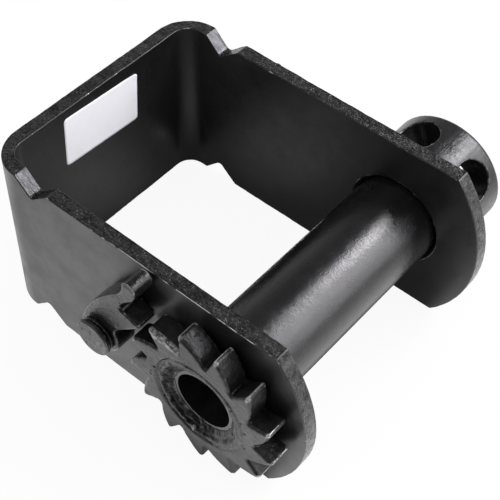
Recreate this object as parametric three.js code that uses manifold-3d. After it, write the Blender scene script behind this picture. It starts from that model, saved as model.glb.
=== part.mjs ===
// Sliding winch for cargo straps. A bent plate frame runs in a track by its back web. A welded drum turns in the
// two arms, with a ratchet gear outside one arm and a cap with bar holes outside the other. A pawl on a rivet
// drops into the gear.
// Lengths are millimetres. The origin is the middle of the web's back face. +X runs from the web to the drum,
// +Y along the drum from the gear to the cap, and +Z is up.

import * as THREE from 'three';
import { mergeVertices } from 'three/addons/utils/BufferGeometryUtils.js';
import Module from 'manifold-3d';

const wasm = await Module();
wasm.setup();

// Frame, one strip of plate bent into a U. The press thins it in the bends, so their inner radius is its own size.
const PLATE_HEIGHT = 101.6;
const PLATE_THICKNESS = 8;
const FRAME_WIDTH = 146;
const BEND_RADIUS = 21;
const BEND_INNER_RADIUS = 10;
const ARM_REACH = 203.5;
const ARM_END_RADIUS = 76;

// V notches in the arms' edges, where the lips of the track pass
const NOTCH_ROOT_FROM_BACK = 32.3;
const NOTCH_DEPTH = 10.3;
const NOTCH_BACK_RUN = 10.4;
const NOTCH_FRONT_RUN = 11.7;
const NOTCH_ROOT_ROUNDING = 2.4;

// Drum
const DRUM_FROM_ARM_END = 51.1;
const TUBE_RADIUS = 24.7;
const TUBE_BORE_RADIUS = 15.8;
const TUBE_BEYOND_GEAR_ARM = 11.4;
const TUBE_IN_CAP = 8.4;
const TUBE_END_CHAMFER = 0.8;
const ARM_HOLE_PLAY = 0.7;
const ARM_HOLE_EASING = 1.7;
const STRAP_SLOT_LENGTH = 108;
const STRAP_SLOT_WIDTH = 10;
const STRAP_SLOT_DEGREES = 150;

// Ratchet gear
const TOOTH_COUNT = 13;
const GEAR_TIP_RADIUS = 44.3;
const GEAR_ROOT_RADIUS = 33.6;
const GEAR_THICKNESS = 13;
const GEAR_OFF_ARM = 2.2;
const GEAR_EDGE_CHAMFER = 1.2;
const GEAR_BORE_BEVEL = 2.4;
const GEAR_FIRST_TIP_DEGREES = 133.9;

// Tooth form, as shares of the angle from one tooth tip to the next
const TIP_LAND_SHARE = 0.09;
const STEEP_FLANK_SHARE = 0.13;
const ROOT_FLAT_SHARE = 0.07;

// Bar cap
const CAP_RADIUS = 33.2;
const CAP_LENGTH = 41;
const CAP_BORE_RADIUS = 17;
const CAP_OFF_ARM = 1.5;
const CAP_OUTER_CHAMFER = 1.6;
const BAR_HOLE_COUNT = 5;
const BAR_HOLE_RADIUS = 11.4;
const BAR_HOLE_FROM_ARM = 24;
const BAR_HOLE_FIRST_DEGREES = 38.7;

// Pawl, drawn in its own frame: the rivet is at 0, 0 and the tip of the nose lies on its x axis
const PIVOT_FROM_DRUM = 63.4;
const PAWL_THICKNESS = 13;
const PAWL_OFF_ARM = 2.2;
const PAWL_EDGE_CHAMFER = 0.9;
const PAWL_HUB_RADIUS = 12.2;
const NOSE_REACH = 38.9;
const NOSE_TIP_ROUNDING = 1.5;
const NOSE_FACE_FOOT = 34.6;
const NOSE_FACE_RISE = 9.6;
const NOTCH_REACH = 33.8;
const NOTCH_RISE = 11.6;
const LOBE_REACH = 50.6;
const LOBE_RISE = 20.8;
const LOBE_RADIUS = 4.3;
const BROW_BEHIND_LOBE = 6.1;
const BROW_RISE = 14.4;
const BACK_BEHIND_LOBE = 13.6;
const BACK_RISE = 19.9;
const THROAT_REACH = 19;

// Rivet that carries the pawl, with its washers
const RIVET_RADIUS = 6.35;
const RIVET_HEAD_RADIUS = 10.5;
const RIVET_HEAD_THICKNESS = 2.4;
const RIVET_HEAD_CHAMFER = 0.7;
const RIVET_SHOULDER_RADIUS = 8.4;
const RIVET_SHOULDER_THICKNESS = 0.9;
const RIVET_TAIL_RADIUS = 9.6;
const RIVET_TAIL_RISE = 4.2;
const HEAD_WASHER_RADIUS = 9.7;
const HEAD_WASHER_THICKNESS = 1.3;
const SPACER_RADIUS = 9.5;

// Weld beads
const GEAR_WELD_LEG = 5.4;
const GEAR_WELD_SUNK = 0.5;
const CAP_WELD_LEG = 2.8;
const WELD_RIPPLE_SPACING = 4.2;
const WELD_RIPPLE_SHARE = 0.12;
const WELD_CROWN_LEG_SHARE = 0.55;
const WELD_CROWN_RISE_SHARE = 0.8;
const STEPS_IN_A_RIPPLE = 3;

// Clearances. Every cut runs past its piece by the overrun.
const TOUCH_GAP = 0.3;
const RIVET_PLAY = 0.3;
const OVERRUN = 2;

// Points of an outline closer than this are one
const SAME_POINT = 0.01;

// Facets
const STEPS_ROUND_DRUM = 64;
const STEPS_ROUND_RIVET = 36;
const STEPS_ROUND_HOLE = 32;
const STEPS_ROUND_BEND = 10;
const STEPS_ROUND_OUTLINE = 9;
const STEPS_UP_TOOTH_BACK = 4;

// Places that follow from the sizes above
const HALF_HEIGHT = PLATE_HEIGHT / 2;
const HALF_WIDTH = FRAME_WIDTH / 2;
const DRUM_FROM_BACK = ARM_REACH - DRUM_FROM_ARM_END;
const PIVOT_FROM_BACK = DRUM_FROM_BACK - PIVOT_FROM_DRUM;
const GEAR_ARM_FACE = -HALF_WIDTH;
const CAP_ARM_FACE = HALF_WIDTH;
const GEAR_BACK = GEAR_ARM_FACE - GEAR_OFF_ARM;
const GEAR_FRONT = GEAR_BACK - GEAR_THICKNESS;
const TUBE_GEAR_END = GEAR_ARM_FACE - TUBE_BEYOND_GEAR_ARM;
const CAP_INNER_END = CAP_ARM_FACE + CAP_OFF_ARM;
const CAP_OUTER_END = CAP_INNER_END + CAP_LENGTH;
const TUBE_CAP_END = CAP_INNER_END + TUBE_IN_CAP;
const ARM_HOLE_RADIUS = TUBE_RADIUS + ARM_HOLE_PLAY;
const SLEEVE_RADIUS = TUBE_RADIUS + TOUCH_GAP;
const PAWL_BACK = GEAR_ARM_FACE - PAWL_OFF_ARM;
const PAWL_FRONT = PAWL_BACK - PAWL_THICKNESS;
const RIVET_HOLE_RADIUS = RIVET_RADIUS + RIVET_PLAY;

const PAINT = { color: 0x17181a, roughness: 0.42, metalness: 0.1 };
const CAST_PAINT = { color: 0x1c1d1f, roughness: 0.55, metalness: 0.1 };
const WELD_PAINT = { color: 0x1f2022, roughness: 0.5, metalness: 0.1 };

// Solids from three.js geometry

function toSolid(geometry) {
  const bare = geometry.clone();
  bare.deleteAttribute('normal');
  bare.deleteAttribute('uv');
  const merged = mergeVertices(bare);
  const corners = merged.index.array;
  const kept = [];
  for (let i = 0; i < corners.length; i += 3) {
    const [a, b, c] = corners.slice(i, i + 3);
    if (a !== b && b !== c && c !== a) kept.push(a, b, c);
  }
  const mesh = new wasm.Mesh({
    numProp: 3,
    vertProperties: new Float32Array(merged.attributes.position.array),
    triVerts: new Uint32Array(kept),
  });
  return new wasm.Manifold(mesh);
}

function fromSolid(solid) {
  const mesh = solid.getMesh();
  const geometry = new THREE.BufferGeometry();
  geometry.setAttribute('position', new THREE.BufferAttribute(mesh.vertProperties, 3));
  geometry.setIndex(new THREE.BufferAttribute(mesh.triVerts, 1));
  geometry.computeVertexNormals();
  return geometry;
}

function piece(name, solid, look) {
  const mesh = new THREE.Mesh(fromSolid(solid), new THREE.MeshStandardMaterial({ ...look, flatShading: true }));
  mesh.name = name;
  return mesh;
}

// The outline's points, without those that lie on the one before
function distinctPoints(outline) {
  const points = outline.getPoints(STEPS_ROUND_OUTLINE);
  return points.filter((point, i) => point.distanceTo(points.at(i - 1)) > SAME_POINT);
}

// A side outline, x and z, made solid between two places along Y. With a chamfer, both faces' edges are broken.
function alongY(outline, from, to, chamfer = 0) {
  const geometry = new THREE.ExtrudeGeometry(new THREE.Shape(distinctPoints(outline)), {
    depth: to - from - 2 * chamfer,
    bevelEnabled: chamfer > 0,
    bevelThickness: chamfer,
    bevelSize: chamfer,
    bevelOffset: -chamfer,
    bevelSegments: 1,
  });
  geometry.rotateX(Math.PI / 2);
  geometry.translate(0, to - chamfer, 0);
  return toSolid(geometry);
}

// A profile of [radius, y] points turned about a Y axis through x
function turned(profile, x, steps) {
  const points = profile.map(([radius, y]) => new THREE.Vector2(radius, y));
  const geometry = new THREE.LatheGeometry(points, steps);
  geometry.translate(x, 0, 0);
  return toSolid(geometry);
}

function rod(radius, from, to, x, steps) {
  return turned([[0, from], [radius, from], [radius, to], [0, to]], x, steps);
}

// A ring between two radii, with its outer edges chamfered by the last two sizes
function ring(bore, radius, from, to, x, steps, fromChamfer = 0, toChamfer = 0) {
  const profile = [[bore, from], [radius - fromChamfer, from]];
  if (fromChamfer > 0) profile.push([radius, from + fromChamfer]);
  if (toChamfer > 0) profile.push([radius, to - toChamfer]);
  profile.push([radius - toChamfer, to], [bore, to], [bore, from]);
  return turned(profile, x, steps);
}

function onCircle(radius, angle) {
  return new THREE.Vector2(radius * Math.cos(angle), radius * Math.sin(angle));
}

// Frame

function frameTopOutline() {
  const outline = new THREE.Shape();
  const innerFace = HALF_WIDTH - PLATE_THICKNESS;
  const innerCentre = PLATE_THICKNESS + BEND_INNER_RADIUS;
  const innerSide = innerFace - BEND_INNER_RADIUS;
  const outerSide = HALF_WIDTH - BEND_RADIUS;
  outline.moveTo(ARM_REACH, -HALF_WIDTH);
  outline.lineTo(ARM_REACH, -innerFace);
  outline.lineTo(innerCentre, -innerFace);
  outline.absarc(innerCentre, -innerSide, BEND_INNER_RADIUS, -Math.PI / 2, Math.PI, true);
  outline.lineTo(PLATE_THICKNESS, innerSide);
  outline.absarc(innerCentre, innerSide, BEND_INNER_RADIUS, Math.PI, Math.PI / 2, true);
  outline.lineTo(ARM_REACH, innerFace);
  outline.lineTo(ARM_REACH, HALF_WIDTH);
  outline.lineTo(BEND_RADIUS, HALF_WIDTH);
  outline.absarc(BEND_RADIUS, outerSide, BEND_RADIUS, Math.PI / 2, Math.PI, false);
  outline.lineTo(0, -outerSide);
  outline.absarc(BEND_RADIUS, -outerSide, BEND_RADIUS, Math.PI, 1.5 * Math.PI, false);
  outline.closePath();
  return outline;
}

// One V notch with a rounded root, in the bottom edge for side -1 and in the top edge for side 1
function addNotch(outline, side) {
  const edge = side * HALF_HEIGHT;
  const root = side * (HALF_HEIGHT - NOTCH_DEPTH);
  const back = NOTCH_ROOT_FROM_BACK - NOTCH_BACK_RUN;
  const front = NOTCH_ROOT_FROM_BACK + NOTCH_FRONT_RUN;
  const first = side < 0 ? back : front;
  const last = side < 0 ? front : back;
  const rise = side * NOTCH_ROOT_ROUNDING;
  const turn = Math.sign(last - first) * NOTCH_ROOT_ROUNDING;
  outline.lineTo(first, edge);
  outline.lineTo(NOTCH_ROOT_FROM_BACK - turn, root + rise);
  outline.quadraticCurveTo(NOTCH_ROOT_FROM_BACK, root, NOTCH_ROOT_FROM_BACK + turn, root + rise);
  outline.lineTo(last, edge);
}

function frameSideOutline() {
  const outline = new THREE.Shape();
  const centre = ARM_REACH - ARM_END_RADIUS;
  const corner = Math.asin(HALF_HEIGHT / ARM_END_RADIUS);
  outline.moveTo(-OVERRUN, -HALF_HEIGHT);
  addNotch(outline, -1);
  outline.absarc(centre, 0, ARM_END_RADIUS, -corner, corner, false);
  addNotch(outline, 1);
  outline.lineTo(-OVERRUN, HALF_HEIGHT);
  outline.closePath();
  return outline;
}

// The drum's holes are eased where they open on the arms' inner faces
function armHoleProfile() {
  const end = HALF_WIDTH + OVERRUN;
  const innerFace = HALF_WIDTH - PLATE_THICKNESS;
  const easingStart = innerFace + ARM_HOLE_EASING;
  const eased = ARM_HOLE_RADIUS + ARM_HOLE_EASING;
  return [
    [0, -end],
    [ARM_HOLE_RADIUS, -end],
    [ARM_HOLE_RADIUS, -easingStart],
    [eased, -innerFace],
    [eased, innerFace],
    [ARM_HOLE_RADIUS, easingStart],
    [ARM_HOLE_RADIUS, end],
    [0, end],
  ];
}

function frame() {
  const strip = toSolid(
    new THREE.ExtrudeGeometry(frameTopOutline(), {
      depth: PLATE_HEIGHT,
      bevelEnabled: false,
      curveSegments: STEPS_ROUND_BEND,
    }).translate(0, 0, -HALF_HEIGHT),
  );
  const side = alongY(frameSideOutline(), -HALF_WIDTH - OVERRUN, HALF_WIDTH + OVERRUN);
  const drumHole = turned(armHoleProfile(), DRUM_FROM_BACK, STEPS_ROUND_DRUM);
  const rivetHole = rod(RIVET_HOLE_RADIUS, -HALF_WIDTH - OVERRUN, 0, PIVOT_FROM_BACK, STEPS_ROUND_RIVET);
  return strip.intersect(side).subtract(drumHole).subtract(rivetHole);
}

// Drum

// The slot goes right through the tube, so that a strap's end can be passed through the drum
function strapSlot() {
  const outline = new THREE.Shape();
  const end = (STRAP_SLOT_LENGTH - STRAP_SLOT_WIDTH) / 2;
  const round = STRAP_SLOT_WIDTH / 2;
  const reach = TUBE_RADIUS + OVERRUN;
  outline.absarc(0, end, round, 0, Math.PI, false);
  outline.absarc(0, -end, round, Math.PI, 2 * Math.PI, false);
  const geometry = new THREE.ExtrudeGeometry(new THREE.Shape(distinctPoints(outline)), {
    depth: 2 * reach,
    bevelEnabled: false,
  });
  geometry.translate(0, 0, -reach);
  geometry.rotateY(Math.PI / 2 - THREE.MathUtils.degToRad(STRAP_SLOT_DEGREES));
  geometry.translate(DRUM_FROM_BACK, 0, 0);
  return toSolid(geometry);
}

function drumTube() {
  const tube = ring(
    TUBE_BORE_RADIUS, TUBE_RADIUS, TUBE_GEAR_END, TUBE_CAP_END - TOUCH_GAP, DRUM_FROM_BACK, STEPS_ROUND_DRUM,
    TUBE_END_CHAMFER, TUBE_END_CHAMFER,
  );
  return tube.subtract(strapSlot());
}

// Going up in angle, each tooth has its land, its steep flank, a short root flat and the long back of the next
function gearOutline() {
  const pitch = (2 * Math.PI) / TOOTH_COUNT;
  const depth = GEAR_TIP_RADIUS - GEAR_ROOT_RADIUS;
  const first = THREE.MathUtils.degToRad(GEAR_FIRST_TIP_DEGREES);
  const points = [];
  for (let tooth = 0; tooth < TOOTH_COUNT; tooth += 1) {
    const tip = first + tooth * pitch;
    const foot = tip + STEEP_FLANK_SHARE * pitch;
    const backStart = foot + ROOT_FLAT_SHARE * pitch;
    const backEnd = tip + pitch - TIP_LAND_SHARE * pitch;
    points.push(onCircle(GEAR_TIP_RADIUS, tip), onCircle(GEAR_ROOT_RADIUS, foot));
    for (let step = 0; step < STEPS_UP_TOOTH_BACK; step += 1) {
      const share = step / STEPS_UP_TOOTH_BACK;
      const angle = THREE.MathUtils.lerp(backStart, backEnd, share);
      points.push(onCircle(GEAR_ROOT_RADIUS + share * depth, angle));
    }
    points.push(onCircle(GEAR_TIP_RADIUS, backEnd));
  }
  return new THREE.Shape(points.map((point) => point.add(new THREE.Vector2(DRUM_FROM_BACK, 0))));
}

function ratchetGear() {
  const blank = alongY(gearOutline(), GEAR_FRONT, GEAR_BACK, GEAR_EDGE_CHAMFER);
  const bore = [
    [0, GEAR_FRONT - OVERRUN],
    [SLEEVE_RADIUS + GEAR_BORE_BEVEL + OVERRUN, GEAR_FRONT - OVERRUN],
    [SLEEVE_RADIUS, GEAR_FRONT + GEAR_BORE_BEVEL],
    [SLEEVE_RADIUS, GEAR_BACK + OVERRUN],
    [0, GEAR_BACK + OVERRUN],
  ];
  return blank.subtract(turned(bore, DRUM_FROM_BACK, STEPS_ROUND_DRUM));
}

function barHole(angle) {
  const reach = CAP_RADIUS + OVERRUN;
  const geometry = new THREE.CylinderGeometry(BAR_HOLE_RADIUS, BAR_HOLE_RADIUS, reach, STEPS_ROUND_HOLE);
  geometry.translate(0, reach / 2, 0);
  geometry.rotateZ(-Math.PI / 2);
  geometry.rotateY(-angle);
  geometry.translate(DRUM_FROM_BACK, CAP_ARM_FACE + BAR_HOLE_FROM_ARM, 0);
  return toSolid(geometry);
}

// A thick ring with a seat for the tube's end and a groove for the weld at its inner end, and bar holes all round
function barCap() {
  const seat = CAP_INNER_END + TUBE_IN_CAP;
  let cap = turned(
    [
      [SLEEVE_RADIUS, CAP_INNER_END + CAP_WELD_LEG],
      [SLEEVE_RADIUS + CAP_WELD_LEG, CAP_INNER_END],
      [CAP_RADIUS - CAP_OUTER_CHAMFER, CAP_INNER_END],
      [CAP_RADIUS, CAP_INNER_END + CAP_OUTER_CHAMFER],
      [CAP_RADIUS, CAP_OUTER_END - CAP_OUTER_CHAMFER],
      [CAP_RADIUS - CAP_OUTER_CHAMFER, CAP_OUTER_END],
      [CAP_BORE_RADIUS, CAP_OUTER_END],
      [CAP_BORE_RADIUS, seat],
      [SLEEVE_RADIUS, seat],
      [SLEEVE_RADIUS, CAP_INNER_END + CAP_WELD_LEG],
    ],
    DRUM_FROM_BACK,
    STEPS_ROUND_DRUM,
  );
  const first = THREE.MathUtils.degToRad(BAR_HOLE_FIRST_DEGREES);
  for (let hole = 0; hole < BAR_HOLE_COUNT; hole += 1) {
    cap = cap.subtract(barHole(first + (hole * 2 * Math.PI) / BAR_HOLE_COUNT));
  }
  return cap;
}

// A rippled bead round the drum, in the corner between the tube's end and the gear's bevelled bore. Its toe on the
// tube and its crown swell and sink from ripple to ripple.
function gearWeld() {
  const wall = SLEEVE_RADIUS - TOUCH_GAP;
  const root = TUBE_GEAR_END - TOUCH_GAP;
  const outerToe = GEAR_FRONT + GEAR_WELD_SUNK;
  const crownLeg = WELD_CROWN_LEG_SHARE * GEAR_WELD_LEG;
  const crownRise = WELD_CROWN_RISE_SHARE * (root - outerToe);
  const ripples = Math.round((2 * Math.PI * wall) / WELD_RIPPLE_SPACING);
  const steps = ripples * STEPS_IN_A_RIPPLE;
  const positions = [];
  const triangles = [];
  for (let step = 0; step < steps; step += 1) {
    const turn = (step / steps) * 2 * Math.PI;
    const swell = 1 - WELD_RIPPLE_SHARE * (1 + Math.cos(turn * ripples)) / 2;
    const profile = [
      [wall, root],
      [wall - GEAR_WELD_LEG * swell, root],
      [wall - crownLeg * swell, root - crownRise * swell],
      [wall + GEAR_BORE_BEVEL - GEAR_WELD_SUNK, outerToe],
      [wall, GEAR_FRONT + GEAR_BORE_BEVEL],
    ];
    for (const [radius, y] of profile) {
      positions.push(DRUM_FROM_BACK + radius * Math.sin(turn), y, radius * Math.cos(turn));
    }
    for (let corner = 0; corner < profile.length; corner += 1) {
      const a = step * profile.length + corner;
      const b = step * profile.length + ((corner + 1) % profile.length);
      const c = (a + profile.length) % (steps * profile.length);
      const d = (b + profile.length) % (steps * profile.length);
      triangles.push(a, c, b, b, c, d);
    }
  }
  const geometry = new THREE.BufferGeometry();
  geometry.setAttribute('position', new THREE.Float32BufferAttribute(positions, 3));
  geometry.setIndex(triangles);
  return toSolid(geometry);
}

// The bead lies in the cap's groove and stays behind the cap's inner face
function capWeld() {
  const inner = SLEEVE_RADIUS;
  const outer = SLEEVE_RADIUS + CAP_WELD_LEG - 2 * TOUCH_GAP;
  const profile = [
    [inner, CAP_INNER_END],
    [outer, CAP_INNER_END],
    [inner, CAP_INNER_END + CAP_WELD_LEG - 2 * TOUCH_GAP],
    [inner, CAP_INNER_END],
  ];
  return turned(profile, DRUM_FROM_BACK, STEPS_ROUND_DRUM);
}

// Pawl and rivet

// The pawl rests with its nose on the circle of the tooth tips
function pawlRestAngle() {
  const tips = GEAR_TIP_RADIUS + TOUCH_GAP;
  const cosine = (NOSE_REACH ** 2 + PIVOT_FROM_DRUM ** 2 - tips ** 2) / (2 * NOSE_REACH * PIVOT_FROM_DRUM);
  return Math.acos(cosine);
}

function pawlOutline() {
  const outline = new THREE.Shape();
  const throatAngle = -Math.PI / 9;
  const backAngle = 0.6 * Math.PI;
  const lobeStart = 0.62 * Math.PI;
  const lobeEnd = -0.3 * Math.PI;
  const throat = onCircle(PAWL_HUB_RADIUS, throatAngle);
  const lobeTop = onCircle(LOBE_RADIUS, lobeStart);
  const brow = LOBE_REACH - BROW_BEHIND_LOBE;
  const back = LOBE_REACH - BACK_BEHIND_LOBE;
  outline.moveTo(NOSE_REACH - NOSE_TIP_ROUNDING, 0);
  outline.lineTo(THROAT_REACH, 0);
  outline.quadraticCurveTo(PAWL_HUB_RADIUS, 0, throat.x, throat.y);
  outline.absarc(0, 0, PAWL_HUB_RADIUS, throatAngle, backAngle, true);
  outline.quadraticCurveTo(THROAT_REACH / 2, BACK_RISE, back, BACK_RISE);
  outline.quadraticCurveTo(brow, BACK_RISE, LOBE_REACH + lobeTop.x, LOBE_RISE + lobeTop.y);
  outline.absarc(LOBE_REACH, LOBE_RISE, LOBE_RADIUS, lobeStart, lobeEnd, true);
  outline.quadraticCurveTo(LOBE_REACH, BROW_RISE, brow, BROW_RISE);
  outline.quadraticCurveTo(NOTCH_REACH, BROW_RISE, NOTCH_REACH, NOTCH_RISE);
  outline.quadraticCurveTo(NOTCH_REACH, NOSE_FACE_RISE, NOSE_FACE_FOOT, NOSE_FACE_RISE);
  outline.lineTo(NOSE_REACH, NOSE_TIP_ROUNDING);
  outline.quadraticCurveTo(NOSE_REACH, 0, NOSE_REACH - NOSE_TIP_ROUNDING, 0);
  return outline;
}

function pawl() {
  const hole = rod(RIVET_HOLE_RADIUS, PAWL_FRONT - OVERRUN, PAWL_BACK + OVERRUN, 0, STEPS_ROUND_RIVET);
  return alongY(pawlOutline(), PAWL_FRONT, PAWL_BACK, PAWL_EDGE_CHAMFER).subtract(hole);
}

function placedPawl() {
  const mesh = piece('pawl', pawl(), CAST_PAINT);
  mesh.position.set(PIVOT_FROM_BACK, 0, 0);
  mesh.rotation.y = -pawlRestAngle();
  return mesh;
}

// One turned piece: flat head outside the pawl with a shoulder on the washer, shank through the arm, and the tail
// spread on the arm's inner face
function rivet() {
  const shoulderBack = PAWL_FRONT - 2 * TOUCH_GAP - HEAD_WASHER_THICKNESS;
  const headBack = shoulderBack - RIVET_SHOULDER_THICKNESS;
  const headFront = headBack - RIVET_HEAD_THICKNESS;
  const tailStart = GEAR_ARM_FACE + PLATE_THICKNESS + TOUCH_GAP;
  const tailEnd = tailStart + RIVET_TAIL_RISE;
  const profile = [
    [0, headFront],
    [RIVET_HEAD_RADIUS - RIVET_HEAD_CHAMFER, headFront],
    [RIVET_HEAD_RADIUS, headFront + RIVET_HEAD_CHAMFER],
    [RIVET_HEAD_RADIUS, headBack],
    [RIVET_SHOULDER_RADIUS, headBack],
    [RIVET_SHOULDER_RADIUS, shoulderBack],
    [RIVET_RADIUS, shoulderBack],
    [RIVET_RADIUS, tailStart],
    [RIVET_TAIL_RADIUS, tailStart],
  ];
  for (let step = 1; step <= STEPS_ROUND_OUTLINE; step += 1) {
    const turn = (step / STEPS_ROUND_OUTLINE) * (Math.PI / 2);
    const y = THREE.MathUtils.lerp(tailStart, tailEnd, Math.sin(turn));
    profile.push([step < STEPS_ROUND_OUTLINE ? RIVET_TAIL_RADIUS * Math.cos(turn) : 0, y]);
  }
  return turned(profile, PIVOT_FROM_BACK, STEPS_ROUND_RIVET);
}

function headWasher() {
  const back = PAWL_FRONT - TOUCH_GAP;
  return ring(
    RIVET_HOLE_RADIUS, HEAD_WASHER_RADIUS, back - HEAD_WASHER_THICKNESS, back, PIVOT_FROM_BACK, STEPS_ROUND_RIVET,
  );
}

function pawlSpacer() {
  return ring(
    RIVET_HOLE_RADIUS, SPACER_RADIUS, PAWL_BACK + TOUCH_GAP, GEAR_ARM_FACE - TOUCH_GAP, PIVOT_FROM_BACK,
    STEPS_ROUND_RIVET,
  );
}

const winch = new THREE.Group();
winch.add(
  piece('frame', frame(), PAINT),
  piece('drum_tube', drumTube(), PAINT),
  piece('ratchet_gear', ratchetGear(), CAST_PAINT),
  piece('gear_weld', gearWeld(), WELD_PAINT),
  piece('bar_cap', barCap(), PAINT),
  piece('cap_weld', capWeld(), WELD_PAINT),
  placedPawl(),
  piece('pawl_rivet', rivet(), PAINT),
  piece('pawl_head_washer', headWasher(), PAINT),
  piece('pawl_spacer', pawlSpacer(), PAINT),
);

export default winch;
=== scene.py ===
"""Sliding winch in black paint on a pale floor, seen as in the photograph.

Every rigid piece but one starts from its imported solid. Plate and turned pieces get rounded edges, and
castings get a fine skin whose edges are melted and whose surface is uneven. The gear's weld and the blank
label are made here.
"""
import math

import bmesh
import bpy
from mathutils import Matrix, Vector, noise


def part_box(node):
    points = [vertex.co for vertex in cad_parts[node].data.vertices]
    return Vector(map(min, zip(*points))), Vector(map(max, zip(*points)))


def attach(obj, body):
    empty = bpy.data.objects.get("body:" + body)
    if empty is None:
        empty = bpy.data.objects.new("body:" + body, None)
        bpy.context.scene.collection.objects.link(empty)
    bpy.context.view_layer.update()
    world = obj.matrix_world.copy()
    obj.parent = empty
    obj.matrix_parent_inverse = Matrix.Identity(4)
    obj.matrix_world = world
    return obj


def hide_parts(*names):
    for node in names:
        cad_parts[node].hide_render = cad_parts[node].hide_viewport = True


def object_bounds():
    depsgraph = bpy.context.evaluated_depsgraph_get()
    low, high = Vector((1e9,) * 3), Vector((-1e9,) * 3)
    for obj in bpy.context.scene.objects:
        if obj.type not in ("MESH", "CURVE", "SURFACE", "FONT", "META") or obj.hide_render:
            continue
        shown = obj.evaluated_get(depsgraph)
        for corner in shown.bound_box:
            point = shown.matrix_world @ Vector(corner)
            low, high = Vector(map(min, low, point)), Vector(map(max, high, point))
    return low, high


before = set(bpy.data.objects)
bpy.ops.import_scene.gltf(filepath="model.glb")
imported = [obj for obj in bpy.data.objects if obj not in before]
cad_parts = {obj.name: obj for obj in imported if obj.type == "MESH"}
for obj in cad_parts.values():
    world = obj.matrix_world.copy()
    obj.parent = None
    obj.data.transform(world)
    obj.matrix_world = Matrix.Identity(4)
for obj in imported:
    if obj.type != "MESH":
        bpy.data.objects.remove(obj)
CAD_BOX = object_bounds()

MM = 0.001
SCENE = bpy.context.scene

# Camera, fitted to the photograph. Its angles are in degrees, and its lens and sensor in millimetres.
CAMERA_EYE = Vector((352.8, -304.8, 464.8)) * MM
CAMERA_AZIMUTH = 38.62
CAMERA_ELEVATION = 50.08
CAMERA_ROLL = 2.07
CAMERA_LENS = 85.58
CAMERA_SENSOR = 36.0
CAMERA_CLIP = (0.01, 50.0)

# World. The backdrop brightens along Y, and ends upwards along Z in the ceiling.
AMBIENT_LEVEL = 1.12
BACKDROP_LEVEL = 0.80
BACKDROP_BEHIND_CAMERA = 0.12
BACKDROP_Y = (-0.35, 0.15)
CEILING_LEVEL = 0.16
CEILING_Z = (0.15, 0.70)

# Softboxes. Each has an angle round the drum's axis, from +X towards +Z, and a lean along the axis.
LAMP_DISTANCE = 1.2
LAMP_COLOUR = (0.965, 0.95, 1.0)
LAMPS = {
    # name: (angle in degrees, lean, width, length, radiance)
    "key": (69.5, 0.64, 0.38, 0.33, 14.3),
    "side": (47.0, 0.50, 0.50, 0.9, 3.6),
    "low_side": (22.0, 0.45, 0.50, 0.9, 1.9),
    "front": (120.0, -0.75, 0.70, 0.7, 0.9),
}

# Floor
FLOOR_HALF_WIDTH = 4.0
FLOOR_DROP = 0.1 * MM
FLOOR_TONES = (0.80, 0.83)
FLOOR_ROUGHNESS = 0.9
FLOOR_SPECULAR = 0.1
FLOOR_GLOW_SEEN = 0.92

# The floor's brightness in reflections, outside the frame: painted light, brightest beside the drum and
# fading far off and to the front, with a painted shadow under the gear
FLOOR_MIRRORED_LEFT = 1.02
FLOOR_PAINTED_LIGHT_BY_DRUM = 1.30
FLOOR_DRUM_REACH = (100 * MM, 170 * MM)
FLOOR_MIRRORED_FAR = 0.80
FLOOR_FAR_REACH = (210 * MM, 420 * MM)
FLOOR_MIRRORED_FRONT = 0.15
FLOOR_FRONT_FADE = (170 * MM, 330 * MM)
FLOOR_GEAR_SHADOW = 0.22
FLOOR_GEAR_SHADOW_X = (100 * MM, 122 * MM, 176 * MM, 192 * MM)
FLOOR_GEAR_SHADOW_FORWARD = (88 * MM, 106 * MM)

# The floor's brightness in reflections, inside the frame, painted as shadow with a lighter painted patch in
# the middle, and the width of the change to the outside
FLOOR_PAINTED_SHADOW_INSIDE = 0.10
FLOOR_MIRRORED_MIDDLE = 0.34
FLOOR_MIDDLE_PLACE = (50 * MM, 10 * MM, 0.0)
FLOOR_MIDDLE_REACH = (15 * MM, 55 * MM)
FLOOR_SHADE_EDGE = 8 * MM
FLOOR_DRUM_SHADE_EDGE = 36 * MM

# Edges. Their angles are in degrees.
JOINED_WITHIN = 0.002 * MM
FLAT_WITHIN = 0.6
SHARP_FROM = 28.0
ROUND_STEPS = 3
PLATE_ROUNDING = 0.6 * MM
TURNED_ROUNDING = 0.5 * MM

# The plate's cut edges, drawn in by a wave and a ripple. Their lengths in x, y and z are in millimetres.
CUT_STEP = 2.0 * MM
CUT_WAVE = 0.26 * MM
CUT_MEAN = 0.9
CUT_WAVE_LENGTHS = (14.0, 14.0, 60.0)
CUT_WAVE_SHARE = 1.1
CUT_RIPPLE_LENGTHS = (2.6, 2.6, 20.0)
CUT_RIPPLE_SHARE = 0.8
CUT_RIPPLE_OFFSET = (7.0, 3.0, 1.0)
CUT_FACE_TILT = 0.2
FACES_FORWARD = 0.5

# Where the plate's edges are rubbed: round the drum's holes, and along the top of the gear's arm
HOLE_RIM = 4 * MM
HOLE_EDGE_RUBBED = 0.6
RUBBED_FROM = 40 * MM
RUBBED_FULLY_FROM = 105 * MM
RUBBED_DEPTH = 1.5 * MM
RUBBED_HEIGHT = 0.95

# Castings. Their surface has coarse and fine lumps, whose lengths are in millimetres.
CAST_GRAIN = 0.40 * MM
CAP_GRAIN = 0.65 * MM
CAST_UNEVEN = 0.16 * MM
LUMPS_COARSE = 7.0
LUMPS_FINE = 2.2
LUMPS_COARSE_SHARE = 0.65
LUMPS_SUNK = 0.8
CREST_SPREAD = 3

# Paint. Its gloss mirrors a little more than plain plastic does.
PAINT_IOR = 1.75
CAST_IOR = 1.62

# The sockets of a Mix node that take and give colours
MIX_COLOUR_A, MIX_COLOUR_B, MIX_COLOUR_OUT = 6, 7, 2

# Rubbed edges: the noise between which metal shows, and what is added to it where an edge is fully rubbed
RUBBED_SPOTS = (0.60, 0.72)
RUBBED_MORE = (0.10, 0.28)

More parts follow.
